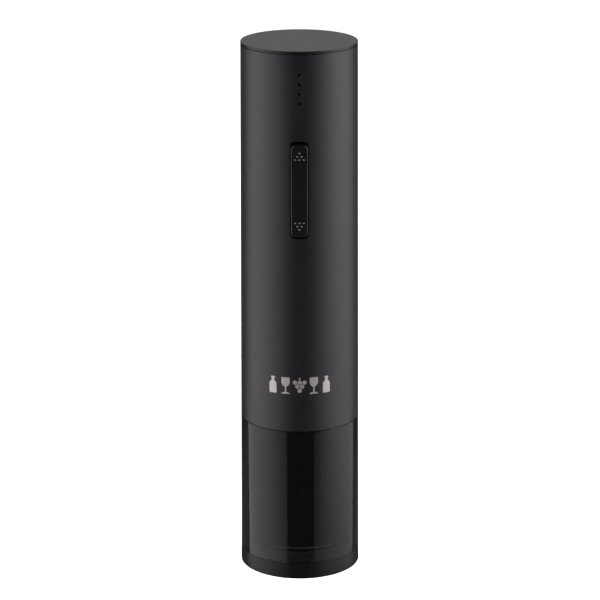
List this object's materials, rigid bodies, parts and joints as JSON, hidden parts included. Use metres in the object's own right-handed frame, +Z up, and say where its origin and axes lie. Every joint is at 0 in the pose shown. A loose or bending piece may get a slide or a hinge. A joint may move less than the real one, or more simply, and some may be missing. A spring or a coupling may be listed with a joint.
{
  "type": "electric wine opener",
  "caption": "Upright cordless wine opener: a matte tube with a rocker button over a smoked clear shroud, a geared motor turning a worm, and a docked foil cutter.",
  "frame": {"origin": "middle of the underside, on the opener's axis", "axes": "+Z up the opener, -Y towards the button, +X to the viewer's right when facing the button"},
  "size_m": [0.0508, 0.0511, 0.227],
  "materials": {
    "body_black": "fine satin",
    "cap_black": "fine matte",
    "smoked_clear": "smoked, clear, polished",
    "guide_black": "moulded",
    "silver_foil": "hot foil",
    "button_black": "satin gloss",
    "blackened": "blackened",
    "steel": "bright",
    "board_black": "black solder mask",
    "chip_black": "moulded",
    "plunger_white": "moulded",
    "led_white": "clear",
    "light_pipe": "smoked",
    "cell_wrap": "shrink wrap",
    "nickel": "rolled",
    "lead_black": "insulation",
    "frame_grey": "moulded",
    "gear_acetal": "moulded",
    "gear_steel": "sintered",
    "bronze": "sintered",
    "worm_steel": "low-friction coating",
    "motor_zinc": "zinc plated",
    "magnet": "ferrite",
    "copper": "enamelled",
    "core_steel": "laminated",
    "cutter_black": "fine matte",
    "blade_steel": "ground"
  },
  "bodies": {
    "housing": {"body_shell": "body_black", "top_cap": "cap_black", "clear_shroud": "smoked_clear", "bottle_guide": "guide_black", "guide_sleeve": "guide_black", "cork_sleeve": "guide_black", "front_emblem": "silver_foil", "button_pin": "blackened", "button_cradle": "guide_black", "main_board": "board_black", "switch_bases": "chip_black", "leds": "led_white", "light_guide": "light_pipe", "board_chips": "chip_black", "charge_board": "board_black", "usb_socket": "steel", "battery_cell": "cell_wrap", "battery_tabs": "nickel", "inner_leads": "lead_black", "frame_front": "frame_grey", "frame_rear": "frame_grey", "frame_screws": "steel", "gearbox_ring": "gear_acetal", "gearbox_base": "gear_acetal", "gearbox_lid": "gear_acetal", "gearbox_screws": "steel", "output_bush": "bronze", "motor_screws": "steel", "motor_can": "motor_zinc", "motor_magnets": "magnet", "motor_bushes": "bronze", "motor_end_cap": "chip_black", "motor_contacts": "copper"},
    "button": {"rocker_button": "button_black"},
    "upper_plunger": {"plunger_upper": "plunger_white"},
    "lower_plunger": {"plunger_lower": "plunger_white"},
    "rotor": {"motor_shaft": "steel", "motor_armature": "core_steel", "motor_windings": "copper", "motor_commutator": "copper", "sun_pinion": "bronze"},
    "first_carrier": {"carrier_1": "gear_acetal", "carrier_1_pins": "steel"},
    "output": {"carrier_2": "gear_steel", "carrier_2_pins": "steel", "worm_hub": "guide_black", "hub_pin": "steel", "worm": "worm_steel"},
    "foil_cutter": {"cutter_ring": "cutter_black", "cutter_pins": "steel"},
    "first_planet_1": {"planet_1_1": "gear_acetal"},
    "second_planet_1": {"planet_2_1": "gear_steel"},
    "first_planet_2": {"planet_1_2": "gear_acetal"},
    "second_planet_2": {"planet_2_2": "gear_steel"},
    "first_planet_3": {"planet_1_3": "gear_acetal"},
    "second_planet_3": {"planet_2_3": "gear_steel"},
    "cutter_wheel_1": {"cutter_wheel_1": "blade_steel"},
    "cutter_wheel_2": {"cutter_wheel_2": "blade_steel"},
    "cutter_wheel_3": {"cutter_wheel_3": "blade_steel"},
    "cutter_wheel_4": {"cutter_wheel_4": "blade_steel"}
  },
  "joints": [
    {"name": "worm_spin", "type": "hinge", "parent": "housing", "child": "output", "pos_m": [0, 0, 0.09], "axis": [0, 0, 1], "continuous": true},
    {"name": "rotor_spin", "type": "hinge", "parent": "housing", "child": "rotor", "pos_m": [0, 0, 0.15], "axis": [0, 0, 1], "continuous": true},
    {"name": "first_carrier_spin", "type": "hinge", "parent": "housing", "child": "first_carrier", "pos_m": [0, 0, 0.12], "axis": [0, 0, 1], "continuous": true},
    {"name": "first_planet_1_spin", "type": "hinge", "parent": "first_carrier", "child": "first_planet_1", "pos_m": [0.0075, 0, 0.123], "axis": [0, 0, 1], "continuous": true},
    {"name": "second_planet_1_spin", "type": "hinge", "parent": "output", "child": "second_planet_1", "pos_m": [0.0075, 0, 0.113], "axis": [0, 0, 1], "continuous": true},
    {"name": "first_planet_2_spin", "type": "hinge", "parent": "first_carrier", "child": "first_planet_2", "pos_m": [-0.00375, 0.0065, 0.123], "axis": [0, 0, 1], "continuous": true},
    {"name": "second_planet_2_spin", "type": "hinge", "parent": "output", "child": "second_planet_2", "pos_m": [-0.00375, 0.0065, 0.113], "axis": [0, 0, 1], "continuous": true},
    {"name": "first_planet_3_spin", "type": "hinge", "parent": "first_carrier", "child": "first_planet_3", "pos_m": [-0.00375, -0.0065, 0.123], "axis": [0, 0, 1], "continuous": true},
    {"name": "second_planet_3_spin", "type": "hinge", "parent": "output", "child": "second_planet_3", "pos_m": [-0.00375, -0.0065, 0.113], "axis": [0, 0, 1], "continuous": true},
    {"name": "button_tilt", "type": "hinge", "parent": "housing", "child": "button", "pos_m": [0, -0.021, 0.1697], "axis": [1, 0, 0], "range_deg": [-2, 2], "stiffness_Nm_per_rad": 0.8},
    {"name": "upper_plunger_press", "type": "slide", "parent": "housing", "child": "upper_plunger", "axis": [0, 1, 0], "range_m": [0, 0.00025], "stiffness_N_per_m": 4000},
    {"name": "lower_plunger_press", "type": "slide", "parent": "housing", "child": "lower_plunger", "axis": [0, 1, 0], "range_m": [0, 0.00025], "stiffness_N_per_m": 4000},
    {"name": "foil_cutter_undock", "type": "slide", "parent": "housing", "child": "foil_cutter", "axis": [0, 0, -1], "range_m": [0, 0.03]},
    {"name": "cutter_wheel_1_spin", "type": "hinge", "parent": "foil_cutter", "child": "cutter_wheel_1", "pos_m": [0.01216, 0.01216, 0.0034], "axis": [0, 0, 1], "continuous": true},
    {"name": "cutter_wheel_2_spin", "type": "hinge", "parent": "foil_cutter", "child": "cutter_wheel_2", "pos_m": [-0.01216, 0.01216, 0.0034], "axis": [0, 0, 1], "continuous": true},
    {"name": "cutter_wheel_3_spin", "type": "hinge", "parent": "foil_cutter", "child": "cutter_wheel_3", "pos_m": [-0.01216, -0.01216, 0.0034], "axis": [0, 0, 1], "continuous": true},
    {"name": "cutter_wheel_4_spin", "type": "hinge", "parent": "foil_cutter", "child": "cutter_wheel_4", "pos_m": [0.01216, -0.01216, 0.0034], "axis": [0, 0, 1], "continuous": true}
  ],
  "couplings": [
    {"joint": "rotor_spin", "follows": "worm_spin", "ratio": 25},
    {"joint": "first_carrier_spin", "follows": "worm_spin", "ratio": 5},
    {"joint": "first_planet_1_spin", "follows": "worm_spin", "ratio": -13.333},
    {"joint": "second_planet_1_spin", "follows": "worm_spin", "ratio": -2.6667},
    {"joint": "first_planet_2_spin", "follows": "worm_spin", "ratio": -13.333},
    {"joint": "second_planet_2_spin", "follows": "worm_spin", "ratio": -2.6667},
    {"joint": "first_planet_3_spin", "follows": "worm_spin", "ratio": -13.333},
    {"joint": "second_planet_3_spin", "follows": "worm_spin", "ratio": -2.6667}
  ]
}
